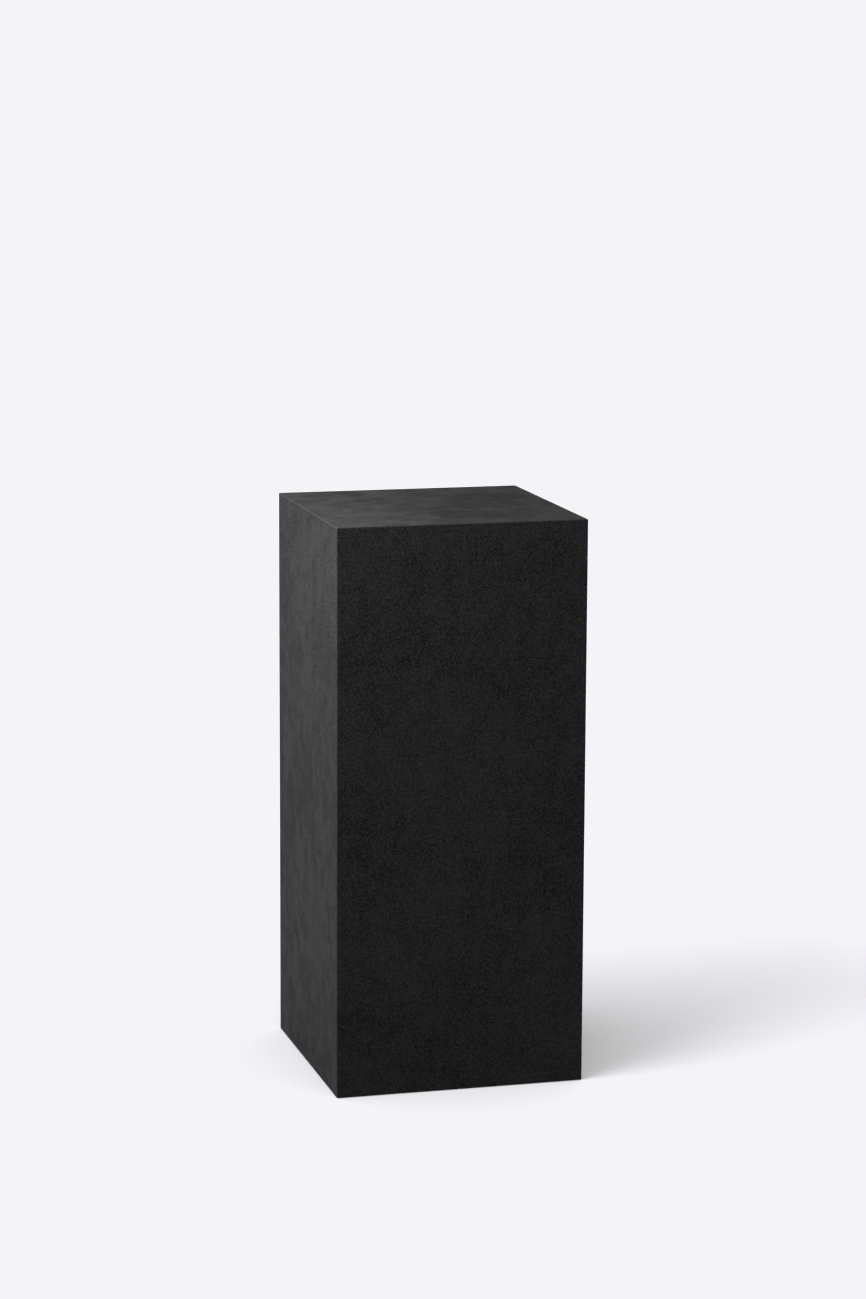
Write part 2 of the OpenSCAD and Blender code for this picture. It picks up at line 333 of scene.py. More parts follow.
for i, side in enumerate(SIDES):
    bm = eased_case()
    saw(bm, (-half_w, -half_w, 0), (-1, 1, 0))
    saw(bm, (half_w, -half_w, 0), (1, 1, 0))
    saw(bm, (0, -half_w, case_h), (0, 1, 1))
    saw(bm, (0, -inner_half, 0), (0, 1, 0))
    bm.transform(quarter_turn(i))
    for socket in ("upright_mitre_tongues", "top_mitre_tongues", "batten_screws", "cleat_screws"):
        bm = carve(bm, cad_solid(socket))
    piece(f"{side}_board", bm, black_fibreboard, "plinth", "black_fibreboard", f"{side}_panel")

bm = eased_case()
for i in range(4):
    saw(bm, quarter_turn(i) @ Vector((0, -half_w, case_h)), quarter_turn(i) @ Vector((0, -1, -1)))
saw(bm, (0, 0, case_h - board_t), (0, 0, -1))
bm = carve(bm, cad_solid("top_mitre_tongues"))
piece("top_board", bm, black_fibreboard, "plinth", "black_fibreboard", "top_panel")

# ---- Mitre tongues ----
# Strips of 4 mm birch plywood glued into grooves across every mitre, half in each board. They
# hold the boards in line while the glue sets and stop short of the case's corners.

tongue_t, tongue_w, tongue_stop = 0.004, 0.016, 0.040
tongue_in = board_t * 0.35
tongue_low, tongue_high = 0.025, case_h - tongue_stop
ply = 0.0013


def plywood_finish(name, across):
    """Birch plywood: pale face grain, with light and dark plies by the distance across it."""
    material, tree, surface, place = new_finish(name)
    step = sums(tree, "FRACT", sums(tree, "DIVIDE", across(tree, place), 2 * ply))
    dark_ply = sums(tree, "MULTIPLY", spread(tree, step, 0.46, 0.54),
                    spread(tree, step, 0.99, 0.93))
    one_way = patches(tree, place, 0.0012, stretch=(30, 1, 1))
    other_way = patches(tree, place, 0.0012, stretch=(1, 30, 1), shift=2.0)
    grain = tree.nodes.new("ShaderNodeMix")
    for socket, value in zip((grain.inputs[0], grain.inputs[2], grain.inputs[3]),
                             (dark_ply, one_way, other_way)):
        put(tree, socket, value)
    figure = patches(tree, place, 0.03, stretch=(3, 1, 1), shift=4.0)
    wood = tint(tree, spread(tree, grain.outputs[0], 0.35, 0.65), (0.50, 0.34, 0.19),
                (0.62, 0.45, 0.27))
    wood = tint(tree, spread(tree, figure, 0.35, 0.65, 0.0, 0.4), wood, (0.43, 0.28, 0.15))
    put(tree, surface.inputs["Base Color"],
        tint(tree, sums(tree, "MULTIPLY", dark_ply, 0.45), wood, (0.26, 0.14, 0.06)))
    put(tree, surface.inputs["Roughness"], spread(tree, grain.outputs[0], 0.3, 0.7, 0.75, 0.58))
    relief(tree, surface, grain.outputs[0], 0.0001, 0.6)
    return material


def across_uprights(tree, place):
    x, y, _ = along(tree, place)
    total = sums(tree, "ADD", sums(tree, "ABSOLUTE", x), sums(tree, "ABSOLUTE", y))
    return sums(tree, "DIVIDE", total, sqrt(2))


def across_top_edges(tree, place):
    x, y, z = along(tree, place)
    out = sums(tree, "MAXIMUM", sums(tree, "ABSOLUTE", x), sums(tree, "ABSOLUTE", y))
    return sums(tree, "DIVIDE", sums(tree, "ADD", out, z), sqrt(2))


upright_strips, top_strips = bmesh.new(), bmesh.new()
for i in range(4):
    strip = block((-tongue_w / 2, -tongue_t / 2, tongue_low),
                  (tongue_w / 2, tongue_t / 2, tongue_high), 0.0003)
    strip.transform(quarter_turn(i)
                    @ Matrix.Translation((-inner_half - tongue_in, -inner_half - tongue_in, 0))
                    @ Matrix.Rotation(-pi / 4, 4, "Z"))
    add_shape(upright_strips, strip)
    half = (half_w - tongue_stop, tongue_w / 2, tongue_t / 2)
    strip = block([-h for h in half], half, 0.0003)
    strip.transform(quarter_turn(i)
                    @ Matrix.Translation((0, -inner_half - tongue_in,
                                          case_h - board_t + tongue_in))
                    @ Matrix.Rotation(pi / 4, 4, "X"))
    add_shape(top_strips, strip)
upright_plywood = plywood_finish("plywood_upright_tongues", across_uprights)
top_plywood = plywood_finish("plywood_top_tongues", across_top_edges)
piece("upright_tongue_strips", upright_strips, upright_plywood, "plinth", "birch_plywood",
      "upright_mitre_tongues")
piece("top_tongue_strips", top_strips, top_plywood, "plinth", "birch_plywood",
      "top_mitre_tongues")

# ---- Softwood frame ----
# Planed 30 x 30 mm pine: a batten up each inside corner, and bearers, middle cleats and top
# cleats between them. Each is glued to its board and screwed to it from inside, through holes
# that are drilled and countersunk first.

bar_w = 0.030
clearance = 0.001
frame_half = inner_half - bar_w / 2
bar_half = inner_half - bar_w - clearance
base_top = 0.042
rib_z, rib_t = 0.460, 0.012
inner_top = case_h - board_t
bar_levels = {"base_bearer": base_top, "mid_cleat": rib_z - bar_w, "top_cleat": inner_top - bar_w}


def softwood_finish(name, lengthwise):
    """Pine, with its rings running along one axis, 0 for X to 2 for Z."""
    material, tree, surface, place = new_finish(name)
    rings = tree.nodes.new("ShaderNodeTexWave")
    rings.wave_type = "RINGS"
    rings.rings_direction = "XYZ"[lengthwise]
    rings.inputs["Scale"].default_value = 1.0
    rings.inputs["Distortion"].default_value = 3.0
    rings.inputs["Detail"].default_value = 2.0
    rings.inputs["Detail Scale"].default_value = 0.6
    centred = tree.nodes.new("ShaderNodeMapping")
    centred.inputs["Location"].default_value = (7.0, 11.0, -9.0)
    centred.inputs["Scale"].default_value = [12 if k == lengthwise else 95 for k in range(3)]
    tree.links.new(place, centred.inputs["Vector"])
    tree.links.new(centred.outputs[0], rings.inputs["Vector"])
    drawn = [40 if k == lengthwise else 1 for k in range(3)]
    fibres = patches(tree, place, 0.0007, stretch=drawn)
    knots = patches(tree, place, 0.035, detail=1.0, shift=6.0)
    late = spread(tree, rings.outputs["Fac"], 0.55, 0.95)
    wood = tint(tree, late, (0.66, 0.47, 0.26), (0.47, 0.27, 0.11))
    wood = tint(tree, spread(tree, fibres, 0.4, 0.7, 0.0, 0.35), wood, (0.74, 0.57, 0.35))
    put(tree, surface.inputs["Base Color"],
        tint(tree, spread(tree, knots, 0.74, 0.80, 0.0, 0.8), wood, (0.22, 0.10, 0.04)))
    put(tree, surface.inputs["Roughness"], spread(tree, fibres, 0.3, 0.7, 0.70, 0.52))
    relief(tree, surface, sums(tree, "ADD", fibres, sums(tree, "MULTIPLY", late, 0.5)),
           0.00015, 0.6)
    return material


screw_r, screw_core_r = 0.00225, 0.00150
screw_head_r, screw_head_h = 0.00425, 0.0026
screw_point = 0.005
long_screw_l, short_screw_l = 0.040, 0.030
batten_screw_levels = (0.140, 0.320, 0.560, 0.740)
batten_screw_step = 0.020
bar_screw_x, rib_screw_x = 0.105, 0.055
base_screw_x, base_screw_r = 0.075, 0.003
brass_r, brass_l = 0.0045, 0.012
bore_l = 0.018
past, proud = 0.010, 0.001
sink_land = 0.0002
inward = Matrix.Rotation(-pi / 2, 4, "X")
sideways = Matrix.Rotation(pi / 2, 4, "Y")


def batten_screw_spots(i):
    """Where a batten's eight screws go in, each along its own -Z."""
    spots = []
    for z in batten_screw_levels:
        spots.append(Matrix.Translation((-frame_half, bar_w - inner_half, z)) @ inward)
        spots.append(Matrix.Translation((bar_w - inner_half, -frame_half,
                                         z + batten_screw_step)) @ sideways)
    return [quarter_turn(i) @ spot for spot in spots]


def bar_screw_spots(i, low):
    """Where the two screws of a bearer or cleat go in."""
    return [quarter_turn(i) @ Matrix.Translation((x, bar_w - inner_half, low + bar_w / 2)) @ inward
            for x in (-bar_screw_x, bar_screw_x)]


def rib_screw_spots(i):
    """Where the middle rib's two screws on one side go in."""
    return [quarter_turn(i) @ Matrix.Translation((x, -frame_half, rib_z + rib_t))
            for x in (-rib_screw_x, rib_screw_x)]


def drill(bm, length, spots):
    """Drills and countersinks for wood screws, with tools that stand proud of the face."""
    holes = bmesh.new()
    for spot in spots:
        add_shape(holes, lathe([(0, proud), (screw_head_r, proud), (screw_head_r, -sink_land),
                                (screw_r, -screw_head_h), (screw_r, screw_point - length),
                                (0, -length)], 32), spot)
    return carve(bm, holes)


pine = [softwood_finish(f"softwood_along_{axis}", k) for k, axis in enumerate("xyz")]

for i, corner in enumerate(CORNERS):
    bm = block((-inner_half, -inner_half, base_top),
               (bar_w - inner_half, bar_w - inner_half, inner_top), 0.001)
    bm.transform(quarter_turn(i))
    bm = drill(bm, long_screw_l, batten_screw_spots(i))
    piece(f"{corner}_batten", bm, pine[2], "plinth", "softwood", f"corner_batten_{corner}")

for kind, low in bar_levels.items():
    for i, side in enumerate(SIDES):
        bm = block((-bar_half, -inner_half, low), (bar_half, bar_w - inner_half, low + bar_w), 0.001)
        bm.transform(quarter_turn(i))
        bm = drill(bm, long_screw_l, bar_screw_spots(i, low))
        if kind == "base_bearer":
            for x in (-base_screw_x, base_screw_x):
                bore = lathe([(0, -past), (brass_r, -past), (brass_r, brass_l),
                              (base_screw_r, brass_l), (base_screw_r, bore_l), (0, bore_l)], 48)
                bore.transform(quarter_turn(i) @ Matrix.Translation((x, -frame_half, base_top)))
                bm = carve(bm, bore)
        if kind == "mid_cleat":
            bm = drill(bm, short_screw_l, rib_screw_spots(i))
        piece(f"{side}_{kind}", bm, pine[i % 2], "plinth", "softwood", f"{kind}_{side}")

# ---- Middle rib ----
# A 12 mm birch plywood frame laid on the middle cleats and screwed down. It keeps the tall
# boards flat, and a hand hole in it lets the case be lifted from inside while it is made.

rib_half = inner_half - clearance
notch = bar_w + clearance
hand_hole_r = 0.040


def across_sheet(tree, place):
    return along(tree, place)[2]


def round_hole(bm, radius, low, high, steps, spot=Matrix()):
    """Drills upright through a sheet or part that lies between two levels."""
    drilled = lathe([(0, low - past), (radius, low - past), (radius, high + past),
                     (0, high + past)], steps)
    drilled.transform(spot)
    return carve(bm, drilled)


sheet_plywood = plywood_finish("plywood_sheet", across_sheet)
bm = block((-rib_half, -rib_half, rib_z), (rib_half, rib_half, rib_z + rib_t), 0.0006)
for i in range(4):
    cut = block((-inner_half - past, -inner_half - past, rib_z - past),
                (notch - inner_half, notch - inner_half, rib_z + rib_t + past))
    cut.transform(quarter_turn(i))
    bm = carve(bm, cut)
bm = round_hole(bm, hand_hole_r, rib_z, rib_z + rib_t, 64)
for i in range(4):
    bm = drill(bm, short_screw_l, rib_screw_spots(i))
piece("middle_rib", bm, sheet_plywood, "plinth", "birch_plywood", "mid_rib")

# ---- Wood screws ----
# 4.5 mm countersunk chipboard screws in yellow passivated zinc, 40 mm through the bars and
# 30 mm through the rib: six-lobe recess, plain neck under the head, then a coarse sharp thread.

screw_pitch = 0.0022


def yellow_zinc_finish():
    material, tree, surface, place = new_finish("yellow_zinc")
    bloom = patches(tree, place, 0.0022, detail=2.0)
    streak = patches(tree, place, 0.0004, detail=2.0, shift=2.0)
    gold = tint(tree, spread(tree, bloom, 0.35, 0.65), (0.62, 0.47, 0.16), (0.70, 0.60, 0.30))
    gold = tint(tree, spread(tree, bloom, 0.60, 0.75, 0.0, 0.4), gold, (0.55, 0.38, 0.28))
    put(tree, surface.inputs["Base Color"],
        tint(tree, spread(tree, streak, 0.60, 0.75, 0.0, 0.4), gold, (0.45, 0.42, 0.30)))
    surface.inputs["Metallic"].default_value = 1.0
    put(tree, surface.inputs["Roughness"], spread(tree, streak, 0.3, 0.7, 0.28, 0.46))
    relief(tree, surface, streak, 0.00002, 0.5)
    return material


def six_lobe_recess(bm, rim_r, depth, top):
    """Closes a round opening at the top of a head with a six-lobe driver recess."""
    rim = [e for e in bm.edges if e.is_boundary and all(abs(v.co.z - top) < 1e-6 for v in e.verts)]
    star = bmesh.ops.create_circle(bm, segments=12, radius=rim_r)["verts"]
    for v in star:
        lobe = round(atan2(v.co.y, v.co.x) / (pi / 6)) % 2
        v.co = Vector((v.co.x, v.co.y, 0)) * (0.74 if lobe else 1.0)
        v.co.z = top
    edges = list({e for v in star for e in v.link_edges})
    bmesh.ops.bridge_loops(bm, edges=rim + edges)
    walls = bmesh.ops.extrude_edge_only(bm, edges=edges)
    foot = [g for g in walls["geom"] if isinstance(g, bmesh.types.BMVert)]
    bmesh.ops.translate(bm, verts=foot, vec=(0, 0, -depth))
    bmesh.ops.scale(bm, verts=foot, vec=(0.85, 0.85, 1))
    bmesh.ops.holes_fill(bm, edges=[e for e in bm.edges if e.is_boundary], sides=0)
    face_outward(bm)


def wood_screw(length):
    """A screw along -Z with its head's face at the origin."""
    neck_r, neck_l, tip_r = screw_r * 0.8, length * 0.35, 0.0002
    bm = lathe([(0.0019, 0), (screw_head_r - sink_land, 0), (screw_head_r, -sink_land),
                (neck_r, -screw_head_h), (neck_r, -neck_l), (screw_core_r, -neck_l - 0.001),
                (screw_core_r, screw_point - length), (tip_r, tip_r - length),
                (0, tip_r - length)], 20)
    six_lobe_recess(bm, rim_r=0.0014, depth=0.0017, top=0)
    turns = int((length * 0.62 - 0.001) / screw_pitch)
    ridge = bmesh.new()
    for radius, height in ((screw_core_r - 0.0002, 0), (screw_r, 0.0005),
                           (screw_core_r - 0.0002, 0.0010)):
        ridge.verts.new((radius, 0, height))
    ridge.faces.new(ridge.verts)
    bmesh.ops.spin(ridge, geom=ridge.verts[:] + ridge.edges[:] + ridge.faces[:], axis=(0, 0, 1),
                   cent=(0, 0, 0), dvec=(0, 0, screw_pitch / 12), angle=tau * turns,
                   steps=12 * turns, use_merge=False)
    bmesh.ops.translate(ridge, verts=ridge.verts, vec=(0, 0, 0.0004 - length))
    for v in ridge.verts:
        above_tip = v.co.z + length
        reach = min(1.0, max(0.12, above_tip / screw_point))
        v.co.x *= reach
        v.co.y *= reach
    bmesh.ops.holes_fill(ridge, edges=[e for e in ridge.edges if e.is_boundary], sides=0)
    face_outward(ridge)
    add_shape(bm, ridge)
    return bm


yellow_zinc = yellow_zinc_finish()
long_screw, short_screw = wood_screw(long_screw_l), wood_screw(short_screw_l)

bm = bmesh.new()
for i in range(4):
    for spot in batten_screw_spots(i):
        add_shape(bm, long_screw.copy(), spot)
piece("batten_screw_set", bm, yellow_zinc, "plinth", "yellow_zinc_steel", "batten_screws")

bm = bmesh.new()
for i in range(4):
    for low in bar_levels.values():
        for spot in bar_screw_spots(i, low):
            add_shape(bm, long_screw.copy(), spot)
piece("cleat_screw_set", bm, yellow_zinc, "plinth", "yellow_zinc_steel", "cleat_screws")

bm = bmesh.new()
for i in range(4):
    for spot in rib_screw_spots(i):
        add_shape(bm, short_screw.copy(), spot)
piece("rib_screw_set", bm, yellow_zinc, "plinth", "yellow_zinc_steel", "rib_screws")

# ---- Base board ----
# An 18 mm birch plywood board that closes the case from below and carries the ballast and the
# feet. It screws up into the bearers, so that it comes off when the plinth is repaired.

base_z, base_t = 0.024, 0.018
base_half = inner_half - clearance
foot_inset = 0.062
foot_xy = half_w - foot_inset
insert_r = 0.0075
base_screw_head_r, base_screw_head_h = 0.006, 0.0033
bolt_xy = 0.090
bolt_r, bolt_head_r, bolt_head_h = 0.004, 0.008, 0.0044

bm = block((-base_half, -base_half, base_z), (base_half, base_half, base_top), 0.0008)
for i in range(4):
    spot = quarter_turn(i) @ Matrix.Translation((-foot_xy, -foot_xy, 0))
    bm = round_hole(bm, insert_r, base_z, base_top, 48, spot)
for x, y, radius, head_r, head_h in (
        (-base_screw_x, -frame_half, base_screw_r, base_screw_head_r, base_screw_head_h),
        (base_screw_x, -frame_half, base_screw_r, base_screw_head_r, base_screw_head_h),
        (bolt_xy, bolt_xy, bolt_r, bolt_head_r, bolt_head_h)):
    for i in range(4):
        hole = lathe([(0, -proud), (head_r, -proud), (head_r, sink_land), (radius, head_h),
                      (radius, base_t + proud), (0, base_t + proud)], 48)
        hole.transform(quarter_turn(i) @ Matrix.Translation((x, y, base_z)))
        bm = carve(bm, hole)
piece("base_sheet", bm, sheet_plywood, "plinth", "birch_plywood", "base_board")

# ---- Base screws and their inserts ----
# Eight M6 countersunk socket screws in bright zinc, and the knurled brass inserts in the
# bearers that they screw into.

base_screw_l = 0.035
knurls = 48


def zinc_finish():
    material, tree, surface, place = new_finish("bright_zinc")
    spangle = patches(tree, place, 0.0025, detail=2.0)
    scuff = patches(tree, place, 0.0005, detail=2.0, stretch=(1, 1, 4), shift=3.0)
    grey = tint(tree, spread(tree, spangle, 0.35, 0.65), (0.52, 0.53, 0.56), (0.66, 0.67, 0.69))
    put(tree, surface.inputs["Base Color"],
        tint(tree, spread(tree, scuff, 0.60, 0.75, 0.0, 0.5), grey, (0.36, 0.36, 0.38)))
    surface.inputs["Metallic"].default_value = 1.0
    put(tree, surface.inputs["Roughness"], spread(tree, scuff, 0.3, 0.7, 0.26, 0.45))
    relief(tree, surface, scuff, 0.00002, 0.5)
    return material


def brass_finish():
    material, tree, surface, place = new_finish("brass")
    dull = patches(tree, place, 0.0030, detail=3.0)
    fine = patches(tree, place, 0.0004, detail=2.0, shift=4.0)
    metal = tint(tree, spread(tree, dull, 0.35, 0.65), (0.70, 0.50, 0.20), (0.58, 0.38, 0.14))
    put(tree, surface.inputs["Base Color"],
        tint(tree, spread(tree, fine, 0.60, 0.75, 0.0, 0.3), metal, (0.34, 0.22, 0.10)))
    surface.inputs["Metallic"].default_value = 1.0
    put(tree, surface.inputs["Roughness"], spread(tree, fine, 0.3, 0.7, 0.25, 0.42))
    relief(tree, surface, fine, 0.00002, 0.5)
    return material


def thread(crest_r, pitch, low, high, steps=24):
    """A rod with a V thread, cut square at both ends and chamfered at the upper one."""
    bm = bmesh.new()
    root_r = crest_r - 0.6 * pitch
    outline = [(root_r, 0), (root_r, 0.25), (crest_r, 0.5625), (crest_r, 0.6875), (root_r, 1)]
    start = low - 1.2 * pitch
    rib = [bm.verts.new((radius, 0, start + share * pitch)) for radius, share in outline]
    for one, other in zip(rib, rib[1:]):
        bm.edges.new((one, other))
    turns = int((high - start) / pitch) + 2
    bmesh.ops.spin(bm, geom=bm.verts[:] + bm.edges[:], axis=(0, 0, 1), cent=(0, 0, 0),
                   dvec=(0, 0, pitch / steps), angle=tau * turns, steps=steps * turns,
                   use_merge=False)
    bmesh.ops.remove_doubles(bm, verts=bm.verts, dist=1e-6)
    saw(bm, (0, 0, low), (0, 0, -1))
    saw(bm, (0, 0, high), (0, 0, 1))
    for v in bm.verts:
        reach = hypot(v.co.x, v.co.y)
        limit = crest_r - 0.7 * pitch + (high - v.co.z)
        if reach > limit:
            v.co.x *= limit / reach
            v.co.y *= limit / reach
    return bm


def hex_bar(flats, low, high):
    """A hexagonal bar along Z."""
    bm = bmesh.new()
    made = bmesh.ops.create_circle(bm, cap_ends=True, segments=6, radius=flats / sqrt(3))
    bmesh.ops.translate(bm, verts=made["verts"], vec=(0, 0, low))
    grown = bmesh.ops.extrude_face_region(bm, geom=bm.faces[:])
    verts = [g for g in grown["geom"] if isinstance(g, bmesh.types.BMVert)]
    bmesh.ops.translate(bm, verts=verts, vec=(0, 0, high - low))
    face_outward(bm)
    return bm


def socket_screw(radius, head_r, head_h, length, pitch, plain, flats):
    """A countersunk socket screw along +Z with its head's face at the origin."""
    bm = lathe([(0, 0), (head_r - sink_land, 0), (head_r, sink_land), (radius, head_h),
                (radius, plain), (0, plain)], 32)
    bm = carve(bm, hex_bar(flats, -proud, head_h * 0.75))
    add_shape(bm, thread(radius, pitch, plain - 0.0005, length))
    return bm


bright_zinc = zinc_finish()
brass = brass_finish()
m6_screw = socket_screw(base_screw_r, base_screw_head_r, base_screw_head_h, base_screw_l,
                        pitch=0.001, plain=0.014, flats=0.004)
insert = lathe([(base_screw_r, 0), (brass_r - 0.0003, 0), (brass_r, 0.0003), (brass_r, 0.0035),
                (brass_r - 0.0006, 0.0041), (brass_r - 0.0006, 0.0050), (brass_r, 0.0056),
                (brass_r, brass_l - 0.0010), (brass_r - 0.0008, brass_l),
                (base_screw_r, brass_l)], knurls, closed=True)
for v in insert.verts:
    turn = round(atan2(v.co.y, v.co.x) / (tau / knurls))
    if turn % 2 and hypot(v.co.x, v.co.y) > brass_r - 0.0002:
        v.co.x *= 0.95
        v.co.y *= 0.95
screws, inserts = bmesh.new(), bmesh.new()
for i in range(4):
    for x in (-base_screw_x, base_screw_x):
        spot = quarter_turn(i) @ Matrix.Translation((x, -frame_half, base_z))
        add_shape(screws, m6_screw.copy(), spot)
        add_shape(inserts, insert.copy(), spot @ Matrix.Translation((0, 0, base_t)))
piece("base_screw_set", screws, bright_zinc, "plinth", "zinc_steel", "base_screws")
piece("base_insert_set", inserts, brass, "plinth", "brass", "base_inserts")

# ---- Ballast ----
# Two 12 mm steel plates with the mill scale left on, sawn square and drilled at the corners,
# held down on the base board by four M8 bolts so that the tall plinth can't be knocked over.

plate_half, plate_t, plate_hole_r = 0.120, 0.012, 0.0045
washer_r, washer_t = 0.008, 0.0016
nut_t = 0.0065
bolt_end = 0.002
plates_top = base_top + 2 * plate_t


def mill_steel_finish():
    material, tree, surface, place = new_finish("mill_scale_steel")
    scale = patches(tree, place, 0.030, detail=5.0, rough=0.65)
    rust = patches(tree, place, 0.011, detail=5.0, rough=0.7, shift=5.0)
    rolled = patches(tree, place, 0.002, detail=3.0, stretch=(25, 1, 1), shift=8.0)
    steel = tint(tree, spread(tree, scale, 0.35, 0.65), (0.050, 0.052, 0.058), (0.115, 0.112, 0.110))
    steel = tint(tree, spread(tree, rolled, 0.50, 0.75, 0.0, 0.3), steel, (0.20, 0.20, 0.20))
    rusty = spread(tree, rust, 0.60, 0.72, 0.0, 0.8)
    put(tree, surface.inputs["Base Color"], tint(tree, rusty, steel, (0.165, 0.062, 0.022)))
    put(tree, surface.inputs["Metallic"], spread(tree, rusty, 0.0, 0.8, 0.8, 0.1))
    put(tree, surface.inputs["Roughness"], spread(tree, scale, 0.3, 0.7, 0.42, 0.62))
    relief(tree, surface, sums(tree, "ADD", rust, rolled), 0.0002, 0.5)
    return material


mill_steel = mill_steel_finish()
for name, low in (("lower_ballast", base_top), ("upper_ballast", base_top + plate_t)):
    bm = block((-plate_half, -plate_half, low), (plate_half, plate_half, low + plate_t), 0.0010, 3)
    for i in range(4):
        spot = quarter_turn(i) @ Matrix.Translation((bolt_xy, bolt_xy, 0))
        bm = round_hole(bm, plate_hole_r, low, low + plate_t, 32, spot)
    piece(name, bm, mill_steel, "plinth", "mill_steel", f"{name}_plate")

bolt_l = plates_top + washer_t + nut_t + bolt_end - base_z
m8_bolt = socket_screw(bolt_r, bolt_head_r, bolt_head_h, bolt_l,
                       pitch=0.00125, plain=0.022, flats=0.005)
soft = 0.0002
washer = lathe([(bolt_r + soft, 0), (washer_r - soft, 0), (washer_r, soft),
                (washer_r, washer_t - soft), (washer_r - soft, washer_t),
                (bolt_r + soft, washer_t), (bolt_r, washer_t - soft), (bolt_r, soft)],
               48, closed=True)


def hex_with_chamfers(flats, low, high, bore_r):
    """A hexagon turned down at the corners of both faces, as on a nut."""
    corner_r, face_r = flats / sqrt(3), flats * 0.48
    fall = (corner_r - face_r) * 0.55
    blank = lathe([(0, low), (face_r, low), (corner_r + 1e-4, low + fall),
                   (corner_r + 1e-4, high - fall), (face_r, high), (0, high)], 48)
    bm = carve(hex_bar(flats, low - proud, high + proud), blank, "INTERSECT")
    if bore_r:
        bm = round_hole(bm, bore_r, low, high, 32)
    return bm


nut = hex_with_chamfers(flats=0.013, low=0, high=nut_t, bore_r=bolt_r)
bolts, washers, nuts = bmesh.new(), bmesh.new(), bmesh.new()
for i in range(4):
    spot = quarter_turn(i) @ Matrix.Translation((bolt_xy, bolt_xy, 0))
    add_shape(bolts, m8_bolt.copy(), spot @ Matrix.Translation((0, 0, base_z)))
    add_shape(washers, washer.copy(), spot @ Matrix.Translation((0, 0, plates_top)))
    add_shape(nuts, nut.copy(), spot @ Matrix.Translation((0, 0, plates_top + washer_t)))
piece("ballast_bolt_set", bolts, bright_zinc, "plinth", "zinc_steel", "ballast_bolts")
piece("ballast_washer_set", washers, bright_zinc, "plinth", "zinc_steel", "ballast_washers")
piece("ballast_nut_set", nuts, bright_zinc, "plinth", "zinc_steel", "ballast_nuts")

# ---- Levelling feet ----
# Four screw-down feet: a threaded bush driven into the base board, an M10 stud with a hexagon
# for a spanner, and a black nylon pad on a rubber sole, in which the stud's collar turns under
# a pressed-in steel ring. Wound right in, they leave the case 1 mm off the floor.

foot_r, sole_t = 0.020, 0.002
flange_r, flange_low, insert_high = 0.012, 0.0225, 0.0400
stud_r, stud_high = 0.005, 0.058
neck_high, thread_low = 0.0146, 0.0218
collar_r, collar_low, collar_high = 0.008, 0.00505, 0.00905
ring_r, ring_low, ring_high = 0.010, 0.0091, 0.0111
pad_high, pad_floor = 0.012, 0.005
play = 0.00005
pad_steps = 96


def nylon_finish():
    material, tree, surface, place = new_finish("black_nylon")
    grain = patches(tree, place, 0.0005, detail=2.0)
    flow = patches(tree, place, 0.008, detail=2.0, shift=3.0)
    black = tint(tree, spread(tree, flow, 0.3, 0.7), (0.010, 0.010, 0.011), (0.018, 0.018, 0.019))
    put(tree, surface.inputs["Base Color"],
        tint(tree, spread(tree, grain, 0.60, 0.80, 0.0, 0.4), black, (0.045, 0.045, 0.046)))
    put(tree, surface.inputs["Roughness"], spread(tree, grain, 0.3, 0.7, 0.40, 0.58))
    relief(tree, surface, grain, 0.00005, 0.7)
    return material


def rubber_finish():
    material, tree, surface, place = new_finish("grey_rubber")
    grit = patches(tree, place, 0.0007, detail=2.0)
    dust_and_painted_light = patches(tree, place, 0.009, detail=4.0, shift=3.0)
    grey = tint(tree, spread(tree, grit, 0.35, 0.65), (0.030, 0.030, 0.031), (0.045, 0.045, 0.046))
    put(tree, surface.inputs["Base Color"],
        tint(tree, spread(tree, dust_and_painted_light, 0.45, 0.75, 0.0, 0.5), grey, (0.120, 0.115, 0.105)))
    put(tree, surface.inputs["Roughness"], spread(tree, dust_and_painted_light, 0.3, 0.7, 0.78, 0.92))
    relief(tree, surface, grit, 0.00008, 0.7)
    return material


def foot_insert():
    """Bush with a coarse outer thread and a flange, bored for the stud."""
    bm = thread(insert_r, pitch=0.0020, low=base_z - 0.0008, high=insert_high)
    flange = lathe([(0, flange_low), (flange_r - 0.0004, flange_low),
                    (flange_r, flange_low + 0.0004), (flange_r, base_z - soft),
                    (flange_r - soft, base_z), (0, base_z)], 48)
    bm = carve(bm, flange, "UNION")
    return round_hole(bm, stud_r + play, flange_low, insert_high, 48)


def foot_stud():
    """Collar, plain neck, hexagon and M10 thread, with a hexagon socket in the upper end."""
    bm = lathe([(0, collar_low), (collar_r - 0.0003, collar_low), (collar_r, collar_low + 0.0003),
                (collar_r, collar_high - 0.0003), (collar_r - 0.0003, collar_high),
                (stud_r, collar_high), (stud_r, neck_high), (0, neck_high)], 48)
    rod = thread(stud_r, pitch=0.0015, low=thread_low, high=stud_high)
    rod = carve(rod, hex_bar(flats=0.005, low=stud_high - 0.005, high=stud_high + 0.002))
    add_shape(bm, hex_with_chamfers(flats=0.017, low=0.0142, high=0.0222, bore_r=0))
    add_shape(bm, rod)
    return bm


def foot_ring():
    """Pressed ring with softened rims, which holds the stud's collar down in the pad."""
    inner_r = stud_r + play
    return lathe([(inner_r, ring_low), (ring_r - soft, ring_low), (ring_r, ring_low + soft),
                  (ring_r, ring_high - soft), (ring_r - soft, ring_high),
                  (inner_r + soft, ring_high), (inner_r, ring_high - soft)], 48, closed=True)


